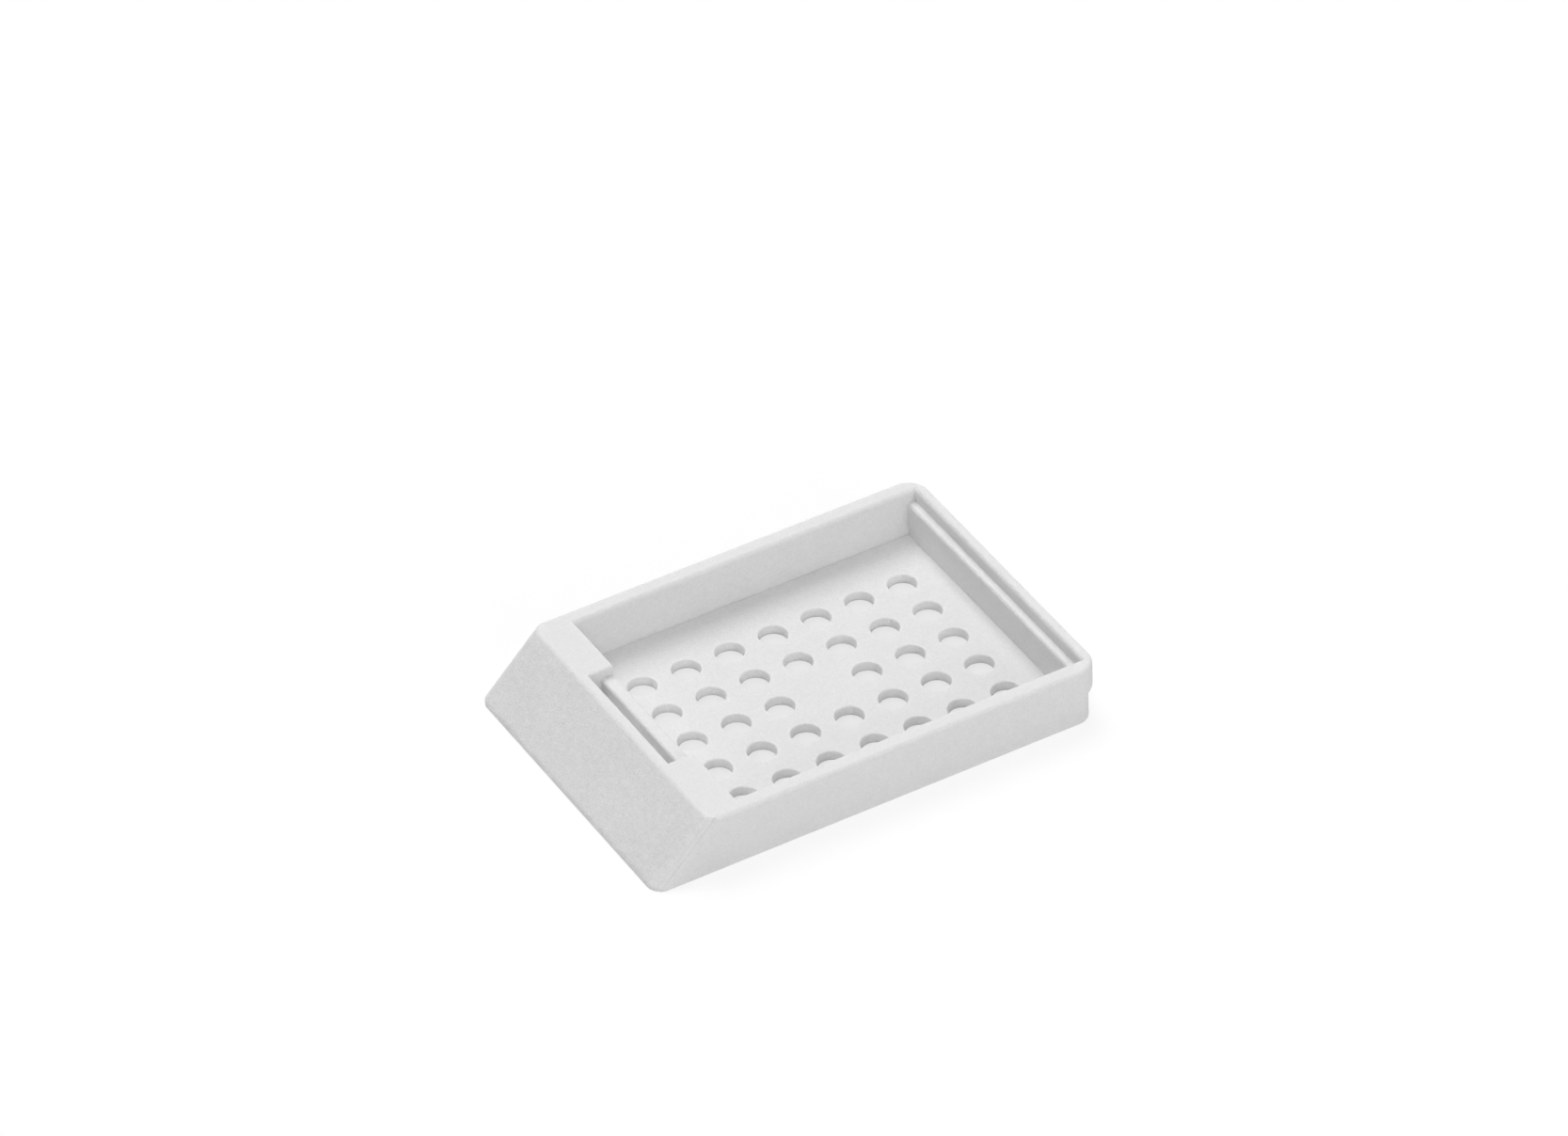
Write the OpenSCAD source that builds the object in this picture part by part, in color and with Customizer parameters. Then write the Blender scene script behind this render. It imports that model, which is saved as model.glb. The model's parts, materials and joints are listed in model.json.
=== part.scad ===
// Base of a tissue cassette: one moulding with a sloped writing face, a slotted front ledge,
// a grid of drain holes in its floor and a stepped back wall that seats and latches a lid.
// +X runs from the writing face to the lip at the back, +Z is up and the base stands on Z = 0.

/* [Body] */
// Length from the foot of the writing face to the back of the lip
body_length = 40.65; // [36:0.05:60]
// Width over the side walls
body_width = 28.4; // [23.6:0.1:40]
// Height from the bench to the rim
body_height = 5.3; // [4.6:0.1:8]
// Slope of the writing face
face_angle = 45; // [40:1:60]
// Thickness of the side walls
side_wall = 1.45; // [1:0.05:2.5]
// Thickness of the perforated floor
floor_thick = 0.9; // [0.6:0.1:1.5]
// Thickness of the lower back wall
back_wall = 1.1; // [0.9:0.05:1.6]

/* [Writing face] */
// Thickness of the sloped wall, square to its face
face_wall = 1.2; // [0.8:0.05:1.6]
// Width of the flat land between the writing face and the slot
face_land = 0.74; // [0.54:0.02:1.2]
// Radius where the writing face meets the rim
face_top_radius = 0.8; // [0.2:0.1:1]
// Radius of the edges where the writing face meets the side walls
hip_radius = 1; // [0.3:0.1:1.2]
// Radius of the foot of the writing face
foot_radius = 0.1; // [0.05:0.05:0.2]
// Radius of the front corners, seen from above
front_corner_radius = 1.5; // [1:0.1:2.5]

/* [Slot] */
// Length of the slot across the body
slot_span = 12.7; // [8:0.1:18]
// Width of the slot along the body
slot_width = 1.1; // [0.8:0.1:1.8]
// Depth of the notch that opens the slot, and thickness of the ledges beside it
ledge_thick = 0.88; // [0.6:0.02:1.4]
// Depth of the slot below the rim
slot_depth = 2.2; // [1.6:0.1:3]
// Thickness of the moulding under and beside the slot
slot_shell = 0.9; // [0.6:0.1:1.4]
// Thickness of the wall between the slot and the well
partition_thick = 1.15; // [0.8:0.05:1.8]

/* [Lid seat] */
// Width of the step that carries the back of the lid
seat_width = 0.7; // [0.5:0.1:0.9]
// Depth of the step below the rim
seat_depth = 1.18; // [0.8:0.02:1.6]
// Radius of the edge of the step
seat_radius = 0.3; // [0.1:0.1:0.4]

/* [Lip] */
// How far the lip stands out from the lower back wall
lip_overhang = 0.58; // [0.4:0.02:0.8]
// Height of the lip's upright face
lip_height = 2.1; // [1.6:0.1:2.6]
// Height of the bevel under the lip
lip_bevel = 0.6; // [0.4:0.1:0.8]
// Radius of the lip's corners, seen from above
lip_corner_radius = 1.9; // [1.2:0.1:2.5]
// Radius of the lower back corners, seen from above
back_corner_radius = 1.5; // [1:0.1:2]

/* [Edges] */
// Radius of the outer edge of the rim
rim_radius = 0.35; // [0.1:0.05:0.4]
// Radius of the inner edge of the rim
rim_inner_radius = 0.4; // [0.1:0.05:0.5]
// Radius of the edge that stands on the bench
base_radius = 0.15; // [0.05:0.05:0.3]
// Radius of the top edges of the slot and the ledges
slot_radius = 0.18; // [0.05:0.01:0.2]
// Radius of the two edges on top of the wall between the slot and the well
partition_radius = 0.3; // [0.05:0.05:0.4]

/* [Drain holes] */
// Bore of a drain hole
hole_diameter = 2.4; // [1.6:0.1:2.8]
// Distance between neighbouring holes
hole_pitch = 4; // [3.2:0.1:4.6]
// Radius of the upper mouth of a hole
mouth_radius = 0.12; // [0.05:0.01:0.3]
// Places for holes along the body
hole_columns = 7; // [3:2:7]
// Rows of holes across the body
hole_rows = 5; // [3:2:5]
// Offset of the grid from the middle of the well, along the body
grid_shift_x = -0.27; // [-0.5:0.01:0.5]
// Offset of the grid from the middle of the well, across the body
grid_shift_y = -0.4; // [-0.5:0.01:0.5]

/* [Hidden] */
$fn = 48;
overlap = 1;
plastic = "whitesmoke";

back_x = body_length / 2;
foot_x = -body_length / 2 - foot_radius * (1 / tan(face_angle / 2) - 1);
face_top_x = foot_x + body_height / tan(face_angle);
slot_x = face_top_x + face_land;
partition_x = slot_x + slot_width;
well_front = partition_x + partition_thick;
lower_back_x = back_x - lip_overhang;
well_back = lower_back_x - back_wall;
seat_back = well_back + seat_width;
inner_width = body_width - 2 * side_wall;
ledge_z = body_height - ledge_thick;
slot_z = body_height - slot_depth;
seat_z = body_height - seat_depth;
lip_z = body_height - lip_height;
bevel_z = lip_z - lip_bevel;
grid_x = (well_front + well_back) / 2 + grid_shift_x;

// Unit vector at an angle in the plane.
function heading(angle) = [cos(angle), sin(angle)];

// Makes its children on both sides of the body.
module both_sides() {
    children();
    mirror([0, 1, 0]) children();
}

// Sets a drawing of X and Z upright and draws it out evenly to both sides.
module across(width) {
    rotate([90, 0, 0]) linear_extrude(width, center = true) children();
}

// Sets a drawing of Y and Z upright and draws it out along the body, over its whole length and past it.
module along() {
    rotate([90, 0, 90]) linear_extrude(body_length + 2 * overlap, center = true) children();
}

// Area between a corner and the arc that rounds it. The corner's two edges leave it at angles a and b.
module corner_area(corner, a, b, radius) {
    half = abs(a - b) / 2;
    middle = (a + b) / 2;
    reach = radius / tan(half);
    centre = corner + heading(middle) * radius / sin(half);
    difference() {
        polygon([
            corner + heading(a) * reach,
            corner - heading(middle) * radius,
            corner + heading(b) * reach,
            centre
        ]);
        translate(centre) circle(radius);
    }
}

// Block seen from the side, with the sloped face in front and the stepped lip at the back.
module side_block() {
    across(body_width) difference() {
        polygon([
            [foot_x, 0],
            [face_top_x, body_height],
            [back_x, body_height],
            [back_x, lip_z],
            [lower_back_x, bevel_z],
            [lower_back_x, 0]
        ]);
        corner_area([foot_x, 0], 0, face_angle, foot_radius);
        corner_area([face_top_x, body_height], 0, -180 + face_angle, face_top_radius);
        corner_area([back_x, body_height], 180, 270, rim_radius);
        corner_area([lower_back_x, 0], 90, 180, base_radius);
    }
}

// Rounds the long edges of the rim and of the base on the +Y side.
module long_edge_cuts() {
    along() {
        corner_area([body_width / 2, body_height], 180, 270, rim_radius);
        corner_area([body_width / 2, 0], 90, 180, base_radius);
    }
}

// Rounds the +Y edge between the writing face and the side wall.
module hip_cut() {
    translate([foot_x, 0, 0]) rotate([0, 90 - face_angle, 0]) translate([0, 0, -overlap])
        linear_extrude(body_height / sin(face_angle) + 2 * overlap)
            corner_area([0, body_width / 2], -90, 0, hip_radius);
}

// Rounds the upright +Y corner at the front.
module front_corner_cut() {
    translate([0, 0, -overlap]) linear_extrude(body_height + 2 * overlap)
        corner_area([-body_length / 2, body_width / 2], -90, 0, front_corner_radius);
}

// Rounds the level edge of a rounded corner of the plan, whose centre is at the origin.
module turned_edge_cut(corner_radius, a, b, radius) {
    rotate_extrude(angle = 90) corner_area([corner_radius, 0], a, b, radius);
}

// Rounds the upright +Y corner at the back, below, under and on the lip.
module back_corner_cut() {
    side_y = body_width / 2;
    translate([0, 0, -overlap]) linear_extrude(bevel_z + overlap)
        corner_area([lower_back_x, side_y], 180, 270, back_corner_radius);
    translate([lower_back_x - back_corner_radius, side_y - back_corner_radius, bevel_z]) difference() {
        cube([back_corner_radius + lip_overhang + overlap, back_corner_radius + overlap, lip_bevel]);
        cylinder(h = lip_bevel, r1 = back_corner_radius, r2 = back_corner_radius + lip_overhang);
    }
    translate([0, 0, bevel_z]) linear_extrude(body_height - bevel_z + overlap)
        corner_area([back_x, side_y], 180, 270, lip_corner_radius);
    translate([back_x - lip_corner_radius, side_y - lip_corner_radius, body_height])
        turned_edge_cut(lip_corner_radius, 180, 270, rim_radius);
    translate([lower_back_x - back_corner_radius, side_y - back_corner_radius, 0])
        turned_edge_cut(back_corner_radius, 90, 180, base_radius);
}

// The solid outer form.
module outer_body() {
    difference() {
        side_block();
        both_sides() {
            long_edge_cuts();
            hip_cut();
            front_corner_cut();
            back_corner_cut();
        }
    }
}

// Section of an opening that is centred across the body, with its two top edges rounded.
module opening_section(width, bottom, radius) {
    top = body_height + overlap;
    translate([-width / 2, bottom]) square([width, top - bottom]);
    corner_area([width / 2, body_height], -90, 0, radius);
    corner_area([-width / 2, body_height], 180, 270, radius);
}

// The well over the perforated floor, with the lid's step at its back.
module well_cut() {
    intersection() {
        across(body_width) {
            polygon([
                [well_front, floor_thick],
                [well_front, body_height + overlap],
                [seat_back, body_height + overlap],
                [seat_back, seat_z],
                [well_back, seat_z],
                [well_back, floor_thick]
            ]);
            corner_area([well_front, body_height], 180, 270, slot_radius);
            corner_area([seat_back, body_height], -90, 0, rim_inner_radius);
            corner_area([well_back, seat_z], -90, 0, seat_radius);
        }
        along() opening_section(inner_width, floor_thick, rim_inner_radius);
    }
}

// The notch in the ledge and the slot that drops from it.
module slot_cut() {
    intersection() {
        across(body_width) {
            polygon([
                [slot_x, slot_z],
                [slot_x, body_height + overlap],
                [well_front + overlap, body_height + overlap],
                [well_front + overlap, ledge_z],
                [partition_x, ledge_z],
                [partition_x, slot_z]
            ]);
            corner_area([slot_x, body_height], 180, 270, slot_radius);
            corner_area([partition_x, ledge_z], -90, 0, partition_radius);
            corner_area([well_front, ledge_z], 180, 270, partition_radius);
        }
        along() opening_section(slot_span, slot_z, slot_radius);
    }
}

// The hollow behind the writing face, open at the bench. The moulding around the slot hangs into it.
module face_hollow_cut() {
    hollow_foot = foot_x + face_wall / sin(face_angle);
    difference() {
        across(inner_width) polygon([
            [hollow_foot - overlap / tan(face_angle), -overlap],
            [hollow_foot + ledge_z / tan(face_angle), ledge_z],
            [partition_x, ledge_z],
            [partition_x, -overlap]
        ]);
        translate([foot_x, -slot_span / 2 - slot_shell, slot_z - slot_shell])
            cube([partition_x - foot_x + overlap, slot_span + 2 * slot_shell, body_height]);
    }
}

// One drain hole with its upper mouth rounded.
module drain_hole() {
    bore = hole_diameter / 2;
    rotate_extrude() {
        translate([0, -overlap]) square([bore, floor_thick + 2 * overlap]);
        corner_area([bore, floor_thick], -90, 0, mouth_radius);
    }
}

// The grid of drain holes. The middle place stays solid, where the moulding is filled.
module drain_holes() {
    columns = (hole_columns - 1) / 2;
    rows = (hole_rows - 1) / 2;
    for (column = [-columns:columns], row = [-rows:rows]) {
        if (column != 0 || row != 0) {
            translate([grid_x + column * hole_pitch, grid_shift_y + row * hole_pitch, 0]) drain_hole();
        }
    }
}

// The whole moulding.
module cassette_base() {
    color(plastic) difference() {
        outer_body();
        well_cut();
        slot_cut();
        face_hollow_cut();
        drain_holes();
    }
}

cassette_base();
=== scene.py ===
"""Scene of the tissue cassette's base: its moulded plastic, a pale floor, soft light and the camera."""

import json
import math

import bpy
from mathutils import Matrix, Vector


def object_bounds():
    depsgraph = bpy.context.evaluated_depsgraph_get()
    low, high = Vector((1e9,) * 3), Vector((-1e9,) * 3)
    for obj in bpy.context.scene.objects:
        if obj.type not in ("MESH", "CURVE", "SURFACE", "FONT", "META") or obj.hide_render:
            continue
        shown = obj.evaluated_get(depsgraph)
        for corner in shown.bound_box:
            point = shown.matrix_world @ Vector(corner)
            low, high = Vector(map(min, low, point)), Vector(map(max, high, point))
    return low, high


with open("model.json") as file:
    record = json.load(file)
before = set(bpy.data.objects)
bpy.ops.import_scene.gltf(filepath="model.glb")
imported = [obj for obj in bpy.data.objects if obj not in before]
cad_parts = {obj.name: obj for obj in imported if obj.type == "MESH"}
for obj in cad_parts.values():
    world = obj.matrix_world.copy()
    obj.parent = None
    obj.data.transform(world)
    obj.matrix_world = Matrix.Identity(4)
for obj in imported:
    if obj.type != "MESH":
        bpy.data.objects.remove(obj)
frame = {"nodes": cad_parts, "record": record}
cad_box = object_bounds()

MM = 0.001


def towards(azimuth, elevation):
    """The direction of what stands at an azimuth, clockwise from +Y, and an elevation, both in degrees."""
    turn, rise = math.radians(azimuth), math.radians(elevation)
    return Vector((math.sin(turn) * math.cos(rise), math.cos(turn) * math.cos(rise), math.sin(rise)))


# ---------------------------------------------------------------- camera
CAMERA_AZIMUTH = 208.782
CAMERA_ELEVATION = 38.84
CAMERA_ROLL = math.radians(-2.38)
CAMERA_DISTANCE = 744.867 * MM
# The point in the middle of the picture, measured across and up the picture from the middle of the
# object's foot.
AIM_RIGHT = -0.425 * MM
AIM_UP = 11.036 * MM
# In millimetres, as Blender takes them.
SENSOR_WIDTH = 36.0
LENS = 215.96
CLIP_START = 10 * MM
CLIP_END = 20.0


def make_camera():
    """Puts the camera at the photograph's viewing angle."""
    back = towards(CAMERA_AZIMUTH, CAMERA_ELEVATION)
    level_right = Vector((0, 0, 1)).cross(back).normalized()
    right = Matrix.Rotation(CAMERA_ROLL, 3, back) @ level_right
    up = back.cross(right)
    foot = (cad_box[0] + cad_box[1]) / 2
    foot.z = cad_box[0].z
    place = foot + right * AIM_RIGHT + up * AIM_UP + back * CAMERA_DISTANCE
    data = bpy.data.cameras.new("camera")
    data.sensor_width = SENSOR_WIDTH
    data.lens = LENS
    data.clip_start = CLIP_START
    data.clip_end = CLIP_END
    camera = bpy.data.objects.new("camera", data)
    turn = Matrix((right, up, back)).transposed().to_4x4()
    camera.matrix_world = Matrix.Translation(place) @ turn
    bpy.context.scene.collection.objects.link(camera)
    bpy.context.scene.camera = camera


# ---------------------------------------------------------------- light
SKY_STRENGTH = 0.11
LAMP_SOFTNESS = math.radians(40)
# Each lamp's azimuth and elevation in degrees, and its strength, where 1 lights a facing surface fully.
LAMPS = {
    "key_lamp": (0, 62, 0.54),
    "front_lamp": (225, 62, 0.18),
    "low_front_lamp": (180, 20, 0.33),
    "low_back_lamp": (45, 20, 0.145),
}


def node_tree(owner):
    """Clears an owner's node tree. Returns the tree and a helper that adds nodes to it."""
    owner.use_nodes = True
    tree = owner.node_tree
    tree.nodes.clear()

    def add(kind, **values):
        node = tree.nodes.new(kind)
        for name, value in values.items():
            setattr(node, name, value)
        return node

    return tree, add


def seen_directly(tree, add):
    """A value that is 1 for camera, glossy and transmission rays."""
    path = add("ShaderNodeLightPath")
    either = add("ShaderNodeMath", operation="MAXIMUM")
    any_of = add("ShaderNodeMath", operation="MAXIMUM")
    tree.links.new(path.outputs["Is Camera Ray"], either.inputs[0])
    tree.links.new(path.outputs["Is Glossy Ray"], either.inputs[1])
    tree.links.new(either.outputs[0], any_of.inputs[0])
    tree.links.new(path.outputs["Is Transmission Ray"], any_of.inputs[1])
    return any_of.outputs[0]


def make_world():
    """Even sky light, white where it is seen."""
    world = bpy.data.worlds.new("world")
    bpy.context.scene.world = world
    tree, add = node_tree(world)
    sky = add("ShaderNodeBackground")
    sky.inputs["Strength"].default_value = SKY_STRENGTH
    white = add("ShaderNodeBackground")
    white.inputs["Strength"].default_value = 1.0
    for node in (sky, white):
        node.inputs["Color"].default_value = (1, 1, 1, 1)
    mix = add("ShaderNodeMixShader")
    out = add("ShaderNodeOutputWorld")
    tree.links.new(seen_directly(tree, add), mix.inputs[0])
    tree.links.new(sky.outputs[0], mix.inputs[1])
    tree.links.new(white.outputs[0], mix.inputs[2])
    tree.links.new(mix.outputs[0], out.inputs["Surface"])


def make_lamps():
    """Broad soft lamps: two high ones and two low ones, around the object."""
    for name, (azimuth, elevation, strength) in LAMPS.items():
        data = bpy.data.lights.new(name, "SUN")
        # A sun of pi watts per square metre shows a white surface that faces it as white.
        data.energy = strength * math.pi
        data.angle = LAMP_SOFTNESS
        lamp = bpy.data.objects.new(name, data)
        shines = -towards(azimuth, elevation)
        lamp.rotation_mode = "QUATERNION"
        lamp.rotation_quaternion = shines.to_track_quat("-Z", "Y")
        bpy.context.scene.collection.objects.link(lamp)


# ---------------------------------------------------------------- floor
# How far the floor reaches, how far below the object it and its part in painted shade lie, and how far
# inside the object's outline that part ends.
FLOOR_HALF = 3.0
FLOOR_GAP = 0.02 * MM
UNDER_GAP = 0.01 * MM
UNDER_MARGIN = 1.5 * MM
# How a sheet lights the object and how it is seen: its white in the light of the lamps, and its own glow.
FLOOR_LIGHTS = (0.6, 0.26)
FLOOR_SEEN = (0.26, 0.77)
UNDER_LIGHTS = (0.95, 0.0)
# The part under the object glows less than the floor where it is seen: painted shade under the object, on
# top of the little real shade its white keeps.
UNDER_SEEN_IN_PAINTED_SHADE = (0.14, 0.68)


def white_and_glow(tree, add, white, glow):
    """A diffuse white plus an even glow."""
    diffuse = add("ShaderNodeBsdfDiffuse")
    diffuse.inputs["Color"].default_value = (white, white, white, 1)
    emission = add("ShaderNodeEmission")
    emission.inputs["Strength"].default_value = glow
    both = add("ShaderNodeAddShader")
    tree.links.new(diffuse.outputs[0], both.inputs[0])
    tree.links.new(emission.outputs[0], both.inputs[1])
    return both.outputs[0]


def make_sheet(name, corners, height, lights, seen):
    """A level staged sheet that lights the object in one way and is seen in another."""
    (x0, y0), (x1, y1) = corners
    mesh = bpy.data.meshes.new(name)
    mesh.from_pydata([(x0, y0, 0), (x1, y0, 0), (x1, y1, 0), (x0, y1, 0)], [], [(0, 1, 2, 3)])
    sheet = bpy.data.objects.new(name, mesh)
    sheet.location.z = height
    bpy.context.scene.collection.objects.link(sheet)
    material = bpy.data.materials.new(name)
    tree, add = node_tree(material)
    mix = add("ShaderNodeMixShader")
    out = add("ShaderNodeOutputMaterial")
    tree.links.new(seen_directly(tree, add), mix.inputs[0])
    tree.links.new(white_and_glow(tree, add, *lights), mix.inputs[1])
    tree.links.new(white_and_glow(tree, add, *seen), mix.inputs[2])
    tree.links.new(mix.outputs[0], out.inputs["Surface"])
    mesh.materials.append(material)


def make_floor():
    """A plain white floor that keeps a light shadow, and under the drain holes a part that glows less, so
    that it is seen in painted shade as well as in a little real shade.
    """
    low, high = cad_box
    far = FLOOR_HALF
    make_sheet("floor", ((-far, -far), (far, far)), low.z - FLOOR_GAP, FLOOR_LIGHTS, FLOOR_SEEN)
    margin = Vector((UNDER_MARGIN, UNDER_MARGIN))
    corners = (low.xy + margin, high.xy - margin)
    # The part under the drain holes is painted darker than the floor, as the shade beneath the object.
    make_sheet("floor_under_painted_shade", corners, low.z - UNDER_GAP, UNDER_LIGHTS, UNDER_SEEN_IN_PAINTED_SHADE)


# ---------------------------------------------------------------- plastic
PLASTIC_GREY = 0.81
PLASTIC_IOR = 1.48
# How much of the light scatters below the surface, how deep, and the share of that depth for each of red,
# green and blue.
SCATTER_SHARE = 1.0
SCATTER_DEPTH = 0.4 * MM
SCATTER_COLOURS = (1.0, 1.0, 1.0)

# The marks of the surface: the grain, the blotches in it and the slow drift of its tone. Each is a noise
# of one size, with a number of finer layers.
GRAIN = (0.16 * MM, 2)
BLOTCHES = (0.5 * MM, 3)
DRIFT = (4 * MM, 2)
# Blender's noise runs from 0 to 1, and lies nearly all between these values.
NOISE_RANGE = (0.25, 0.75)
# How far each mark makes the tone lighter or darker.
GRAIN_TONE = 0.046
BLOTCH_TONE = 0.014
DRIFT_TONE = 0.007
# How far the grain and the blotches stand out or lie back on the writing face.
GRAIN_RELIEF = 0.01375 * MM
BLOTCH_RELIEF = 0.011 * MM
# The smoothest and roughest blotch, and how much the grain adds to or takes from either.
BLOTCH_ROUGHNESS = (0.46, 0.56)
GRAIN_ROUGHNESS = 0.03

# The writing face is rougher than the rest. Its finish starts where the cosine of the angle between the
# surface's direction and the face's is the first of these values, and is complete at the second.
WRITING_EDGE = (0.92, 0.985)
WRITING_ROUGHNESS = 0.15
# How many times stronger its blotches and drift are, and its grain, and how much of its relief the other
# surfaces have.
WRITING_BLOTCHES = 2.8
WRITING_GRAIN = 1.6
SMOOTH_RELIEF = 0.7

# The writing face turns under along its foot, over this length of the face, and ends at this slope. The
# turn fades away inside the moulding, and is gone this deep below the face.
TOE_LENGTH = 0.707 * MM
TOE_SLOPE = 0.7
TOE_REACH = 0.6 * MM

# The mould's seam along both edges of the writing face: a pale band, then a groove between two ridges, all
# in relief, with the band and the ridges painted lighter as highlights and the groove painted darker as
# shade.
# Each has its place, measured from the middle of the rounding towards the side wall, its half width and
# its height, where 1 is the tallest.
SEAM_LINES_WITH_PAINTED_LIGHT = (
    (-0.6 * MM, 0.25 * MM, 0.35),
    (0.0, 0.13 * MM, 1.0),
    (0.26 * MM, 0.13 * MM, -0.6),
    (0.48 * MM, 0.13 * MM, 0.4),
)
# How far the tallest ridge stands out, and how much lighter it is painted as a highlight, the groove being
# painted darker as shade in the same measure. The seam ends this far below either face.
SEAM_HEIGHT = 0.02 * MM
SEAM_PAINTED_LIGHT = 0.065
SEAM_REACH = 0.8 * MM


class Painter:
    """Adds the nodes of a material whose patterns follow the object's own coordinates."""

    def __init__(self, material):
        tree, self.add = node_tree(material)
        self.link = tree.links.new
        here = self.add("ShaderNodeTexCoord")
        self.place = here.outputs["Object"]
        self.normal = here.outputs["Normal"]
        split = self.add("ShaderNodeSeparateXYZ")
        self.link(self.place, split.inputs[0])
        self.y = split.outputs["Y"]
        self.z = split.outputs["Z"]

    def wire(self, node, values):
        """Sets a node's first inputs to numbers or links them to other nodes' outputs."""
        for socket, value in zip(node.inputs, values):
            if isinstance(value, bpy.types.NodeSocket):
                self.link(value, socket)
            else:
                socket.default_value = value

    def maths(self, operation, *values):
        """A mathematical operation on one or two values."""
        node = self.add("ShaderNodeMath", operation=operation)
        self.wire(node, values)
        return node.outputs[0]

    def total(self, *values):
        """The sum of several values."""
        result = values[0]
        for value in values[1:]:
            result = self.maths("ADD", result, value)
        return result

    def times(self, a, b):
        """The product of two values."""
        return self.maths("MULTIPLY", a, b)

    def dot(self, a, b):
        """The dot product of two vectors."""
        node = self.add("ShaderNodeVectorMath", operation="DOT_PRODUCT")
        self.wire(node, (a, b))
        return node.outputs["Value"]

    def ranged(self, value, start, end, low, high):
        """Maps a value from start..end to low..high, and holds it there outside."""
        node = self.add("ShaderNodeMapRange")
        self.wire(node, (value, start, end, low, high))
        return node.outputs["Result"]

    def noise(self, size, detail):
        """Noise from -1 to 1 with features of a given size in metres."""
        node = self.add("ShaderNodeTexNoise")
        node.inputs["Scale"].default_value = 1 / size
        node.inputs["Detail"].default_value = detail
        self.link(self.place, node.inputs["Vector"])
        return self.ranged(node.outputs["Fac"], *NOISE_RANGE, -1, 1)

    def depth_below(self, point, normal):
        """How far the surface lies below a plane, given by a point on it and its outward normal."""
        level = Vector(point).dot(Vector(normal))
        return self.maths("SUBTRACT", level, self.dot(self.place, normal))


def seam_profile_with_painted_light(painter, under_face):
    """The seam along each edge between the writing face and a side wall, above 0 where it stands out. The
    same values paint it lighter there as highlights and darker in its groove as shade.
    """
    inside_wall = painter.maths("SUBTRACT", cad_box[1].y, painter.maths("ABSOLUTE", painter.y))
    across = painter.maths("SUBTRACT", under_face, inside_wall)
    lines = []
    for place, half_width, height in SEAM_LINES_WITH_PAINTED_LIGHT:
        beside = painter.maths("ABSOLUTE", painter.maths("SUBTRACT", across, place))
        lines.append(painter.ranged(beside, 0, half_width, height, 0))
    depth = painter.maths("MAXIMUM", under_face, inside_wall)
    near_edge = painter.maths("LESS_THAN", depth, SEAM_REACH)
    return painter.times(painter.total(*lines), near_edge)


def toe_relief(painter, under_face, axis):
    """How far the foot of the writing face, which looks along an axis, turns in: a height at or below 0."""
    foot = cad_box[0].z
    toe_top = foot + TOE_LENGTH * math.hypot(axis[0], axis[1])
    along = painter.ranged(painter.z, foot, toe_top, TOE_LENGTH, 0)
    turn = painter.times(painter.times(along, along), -TOE_SLOPE / (2 * TOE_LENGTH))
    return painter.times(turn, painter.ranged(under_face, 0, TOE_REACH, 1, 0))


def plastic_colour(painter, marks, writing, seam_with_painted_light):
    """A pale grey with the marks in it, which are stronger on the writing face, and a seam painted lighter
    as highlights on its band and ridges and darker as shade in its groove.
    """
    grain, blotches, drift = marks
    coarse = painter.total(painter.times(blotches, BLOTCH_TONE), painter.times(drift, DRIFT_TONE))
    coarse = painter.times(coarse, painter.ranged(writing, 0, 1, 1, WRITING_BLOTCHES))
    fine = painter.times(painter.times(grain, GRAIN_TONE), painter.ranged(writing, 0, 1, 1, WRITING_GRAIN))
    # The seam's term is painted light: lighter on its band and ridges, darker in its groove.
    tone = painter.total(coarse, fine, painter.times(seam_with_painted_light, SEAM_PAINTED_LIGHT), 1)
    grey = painter.times(tone, PLASTIC_GREY)
    colour = painter.add("ShaderNodeCombineColor")
    painter.wire(colour, (grey, grey, grey))
    return colour.outputs[0]


def plastic_roughness(painter, marks, writing):
    """A satin that follows the blotches and the grain, rougher on the writing face."""
    grain, blotches, _ = marks
    satin = painter.ranged(blotches, -1, 1, *BLOTCH_ROUGHNESS)
    satin = painter.total(satin, painter.times(grain, GRAIN_ROUGHNESS))
    return painter.total(satin, painter.times(writing, WRITING_ROUGHNESS))


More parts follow.
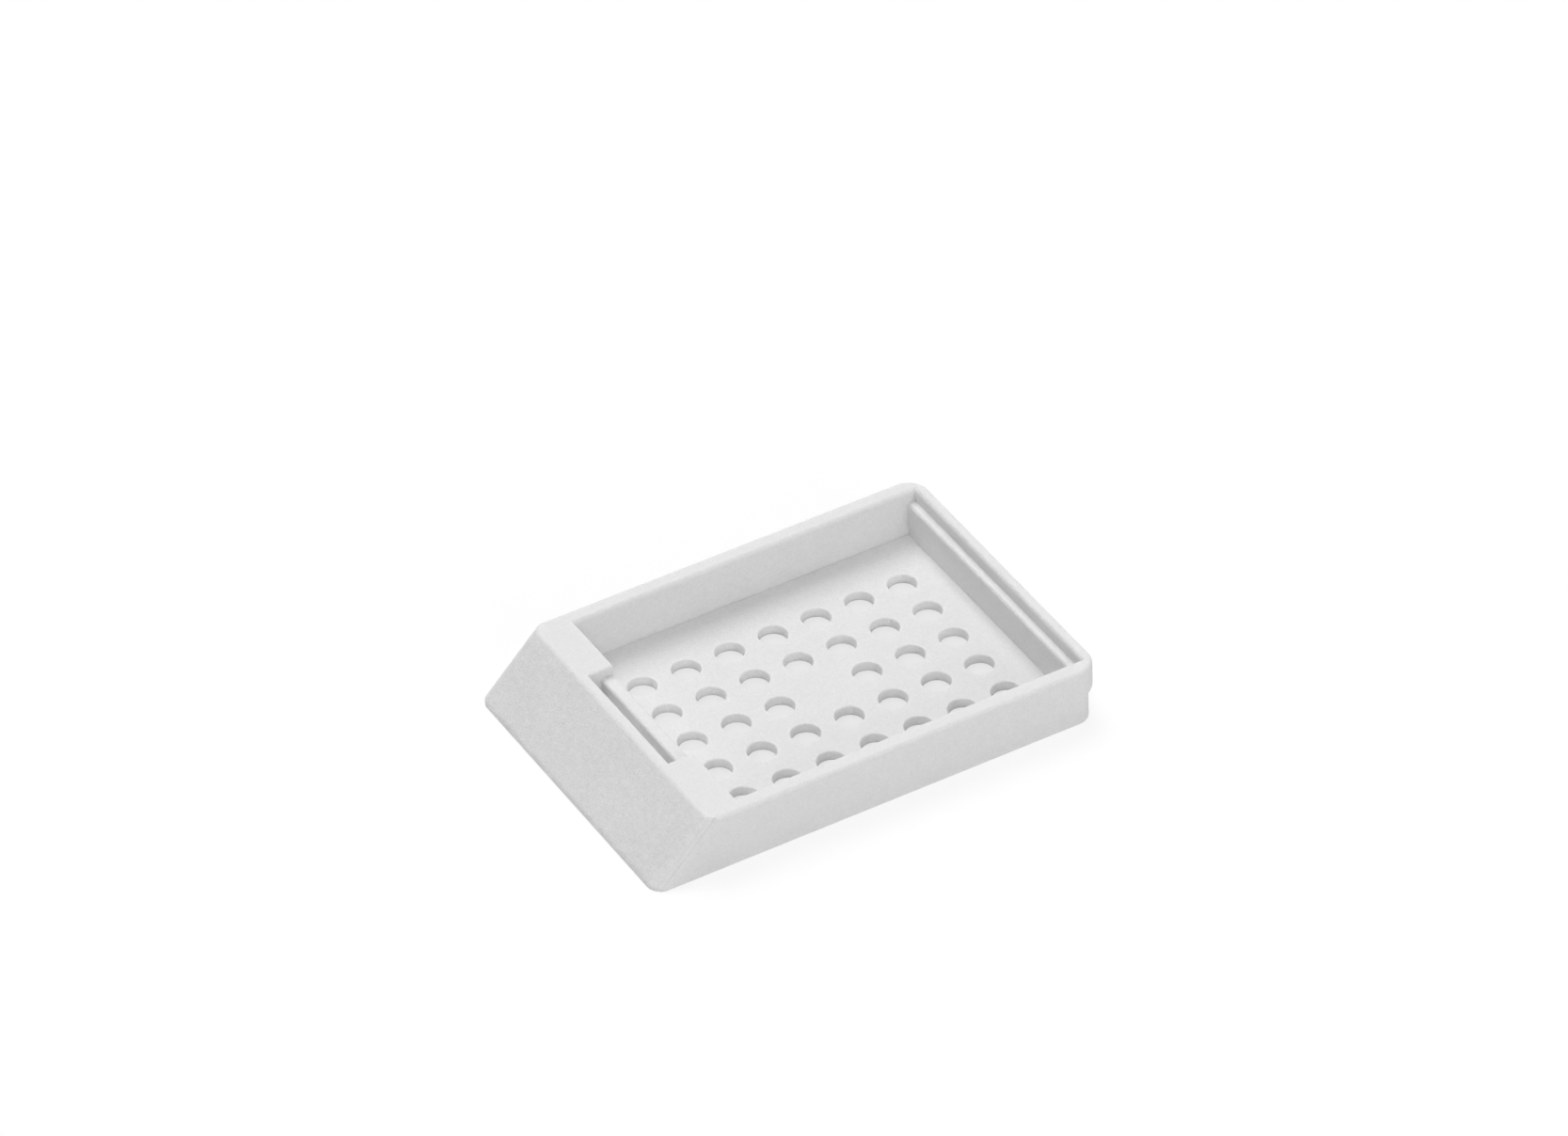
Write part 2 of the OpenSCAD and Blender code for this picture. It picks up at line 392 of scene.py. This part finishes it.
def plastic_normal(painter, marks, writing, seam_with_painted_light, toe):
    """The surface's direction, turned by the marks, the seam and the toe, whose heights are in metres."""
    grain, blotches, _ = marks
    relief = painter.total(painter.times(grain, GRAIN_RELIEF), painter.times(blotches, BLOTCH_RELIEF))
    relief = painter.times(relief, painter.ranged(writing, 0, 1, SMOOTH_RELIEF, 1))
    bump = painter.add("ShaderNodeBump")
    bump.inputs["Distance"].default_value = 1.0
    height = painter.total(relief, painter.times(seam_with_painted_light, SEAM_HEIGHT), toe)
    painter.link(height, bump.inputs["Height"])
    return bump.outputs["Normal"]


def make_plastic():
    """White acetal: a satin, slightly translucent moulding, with a rougher finish on the writing face."""
    material = bpy.data.materials.new("white_acetal")
    painter = Painter(material)
    face = next(mount for mount in frame["record"]["mounts"] if mount["name"] == "writing_face")
    under_face = painter.depth_below(face["pos_m"], face["axis"])
    writing = painter.ranged(painter.dot(painter.normal, face["axis"]), *WRITING_EDGE, 0, 1)
    marks = [painter.noise(*mark) for mark in (GRAIN, BLOTCHES, DRIFT)]
    seam_with_painted_light = seam_profile_with_painted_light(painter, under_face)
    toe = toe_relief(painter, under_face, face["axis"])

    shader = painter.add("ShaderNodeBsdfPrincipled")
    shader.inputs["IOR"].default_value = PLASTIC_IOR
    shader.inputs["Subsurface Weight"].default_value = SCATTER_SHARE
    shader.inputs["Subsurface Radius"].default_value = SCATTER_COLOURS
    shader.inputs["Subsurface Scale"].default_value = SCATTER_DEPTH
    painter.link(plastic_colour(painter, marks, writing, seam_with_painted_light), shader.inputs["Base Color"])
    painter.link(plastic_roughness(painter, marks, writing), shader.inputs["Roughness"])
    painter.link(plastic_normal(painter, marks, writing, seam_with_painted_light, toe), shader.inputs["Normal"])
    out = painter.add("ShaderNodeOutputMaterial")
    painter.link(shader.outputs[0], out.inputs["Surface"])
    return material


def finish_base():
    """Gives the moulding its material."""
    base = frame["nodes"]["cassette_base"]
    base.data.materials.clear()
    base.data.materials.append(make_plastic())


scene = bpy.context.scene
scene.view_settings.view_transform = "Standard"
make_camera()
make_world()
make_lamps()
make_floor()
finish_base()
